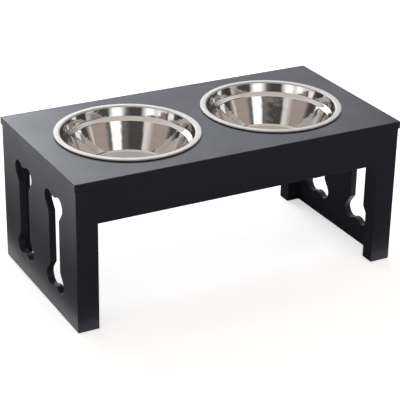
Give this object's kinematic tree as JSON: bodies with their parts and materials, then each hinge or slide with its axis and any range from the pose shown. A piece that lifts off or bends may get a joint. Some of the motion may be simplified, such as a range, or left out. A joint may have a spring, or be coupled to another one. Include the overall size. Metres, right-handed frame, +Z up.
{
  "type": "elevated dog feeder",
  "caption": "Low black-painted wooden dog feeder: a board holds lift-out steel bowls by their rims, on end panels with bone-shaped windows.",
  "frame": {"origin": "on the floor, under the middle of the board", "axes": "+X along the board's length, -Y towards the front, +Z up"},
  "size_m": [0.584, 0.304, 0.2574],
  "materials": {
    "black_paint": "satin",
    "bowl_steel": "polished",
    "bracket_steel": "satin",
    "screw_steel": "satin",
    "peg_wood": "matte",
    "foot_rubber": "matte"
  },
  "bodies": {
    "stand": {"top_board": "black_paint", "front_apron": "black_paint", "rear_apron": "black_paint", "left_end_panel": "black_paint", "right_end_panel": "black_paint", "left_front_post": "black_paint", "left_rear_post": "black_paint", "right_front_post": "black_paint", "right_rear_post": "black_paint", "left_front_bracket": "bracket_steel", "left_rear_bracket": "bracket_steel", "right_front_bracket": "bracket_steel", "right_rear_bracket": "bracket_steel", "bracket_top_screws": "screw_steel", "bracket_panel_screws": "screw_steel", "apron_top_pegs": "peg_wood", "apron_end_dowels": "peg_wood", "post_pegs": "peg_wood", "left_front_foot_pad": "foot_rubber", "left_rear_foot_pad": "foot_rubber", "right_front_foot_pad": "foot_rubber", "right_rear_foot_pad": "foot_rubber"},
    "left_bowl": {"left_bowl": "bowl_steel"},
    "right_bowl": {"right_bowl": "bowl_steel"}
  },
  "joints": [
    {"name": "left_bowl_lift", "type": "slide", "parent": "stand", "child": "left_bowl", "axis": [0, 0, 1], "range_m": [0, 0.1]},
    {"name": "right_bowl_lift", "type": "slide", "parent": "stand", "child": "right_bowl", "axis": [0, 0, 1], "range_m": [0, 0.1]}
  ]
}
